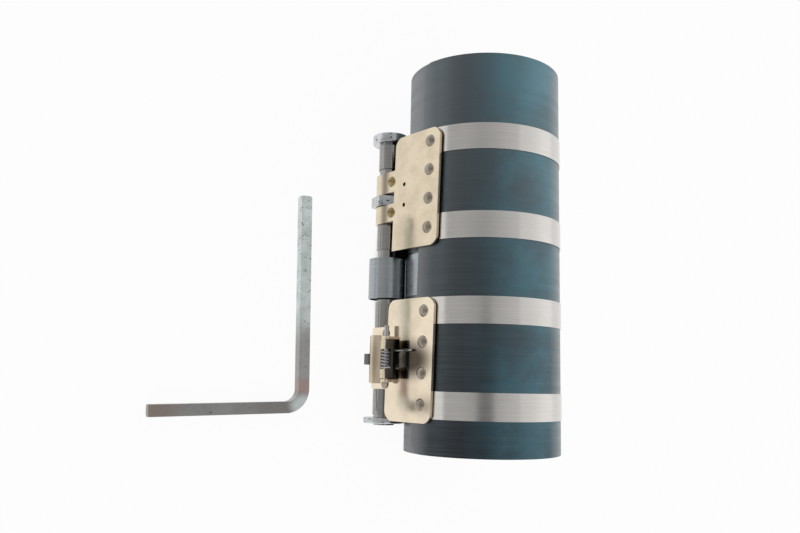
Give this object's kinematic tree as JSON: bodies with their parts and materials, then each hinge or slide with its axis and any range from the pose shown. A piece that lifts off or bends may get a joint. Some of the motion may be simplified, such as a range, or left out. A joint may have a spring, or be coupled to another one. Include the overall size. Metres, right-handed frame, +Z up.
{
  "type": "piston ring compressor",
  "caption": "Rolled spring-steel sleeve drawn tight by tension bands on a ratchet spindle with a sprung pawl, and a loose square L key, for fitting pistons with their rings into engine bores.",
  "frame": {"origin": "on the axis of the sleeve's inner turn, at the end that sits on the engine block", "axes": "+Y along the sleeve from the block end towards the key end, +Z up with the tool lying on its bands and its lower flange as pictured, +X to the right"},
  "size_m": [0.1521, 0.15, 0.0616],
  "materials": {
    "sleeve": "blued spring steel, brushed round the roll",
    "band_1": "bright rolled strip",
    "band_2": "bright rolled strip",
    "band_3": "bright rolled strip",
    "band_4": "bright rolled strip",
    "upper_bracket": "warm nickel plate",
    "lower_bracket": "warm nickel plate",
    "upper_rivets": "warm nickel plate",
    "lower_rivets": "warm nickel plate",
    "clamp_screws": "yellow plate",
    "clamp_nuts": "yellow plate",
    "tail_rivets": "warm nickel plate",
    "spindle_strap": "rolled spring steel",
    "winding_shaft": "turned steel",
    "top_flange": "zinc plate",
    "bottom_flange": "zinc plate",
    "hex_collar": "zinc plate",
    "ratchet_wheel": "hardened steel",
    "band_coil_1": "bright rolled strip",
    "band_coil_2": "bright rolled strip",
    "band_coil_3": "bright rolled strip",
    "band_coil_4": "bright rolled strip",
    "spindle_bush": "turned steel",
    "pawl_lever": "warm nickel plate",
    "pawl_pin": "drawn steel",
    "pawl_spring": "spring wire",
    "square_key": "zinc plate"
  },
  "bodies": {
    "frame": {"sleeve": "sleeve", "band_1": "band_1", "band_2": "band_2", "band_3": "band_3", "band_4": "band_4", "upper_bracket": "upper_bracket", "lower_bracket": "lower_bracket", "upper_rivets": "upper_rivets", "lower_rivets": "lower_rivets", "clamp_screws": "clamp_screws", "clamp_nuts": "clamp_nuts", "tail_rivets": "tail_rivets", "spindle_strap": "spindle_strap", "pawl_pin": "pawl_pin", "pawl_spring": "pawl_spring"},
    "spindle": {"winding_shaft": "winding_shaft", "top_flange": "top_flange", "bottom_flange": "bottom_flange", "hex_collar": "hex_collar", "ratchet_wheel": "ratchet_wheel", "band_coil_1": "band_coil_1", "band_coil_2": "band_coil_2", "band_coil_3": "band_coil_3", "band_coil_4": "band_coil_4", "spindle_bush": "spindle_bush"},
    "pawl": {"pawl_lever": "pawl_lever"},
    "key": {"square_key": "square_key"}
  },
  "joints": [
    {"name": "spindle_turn", "type": "hinge", "parent": "frame", "child": "spindle", "pos_m": [-0.03124, 0.06825, -0.02259], "axis": [0, 1, 0], "continuous": true},
    {"name": "pawl_pivot", "type": "hinge", "parent": "frame", "child": "pawl", "pos_m": [-0.03728, 0.03465, -0.0108], "axis": [0, 1, 0], "range_deg": [-4, 8], "stiffness_Nm_per_rad": 0.02, "springref_deg": -11.46, "deforming": ["pawl_spring"]},
    {"name": "key_lift", "type": "slide", "parent": "frame", "child": "key", "axis": [0, 0, 1], "range_m": [0, 0.08]}
  ]
}
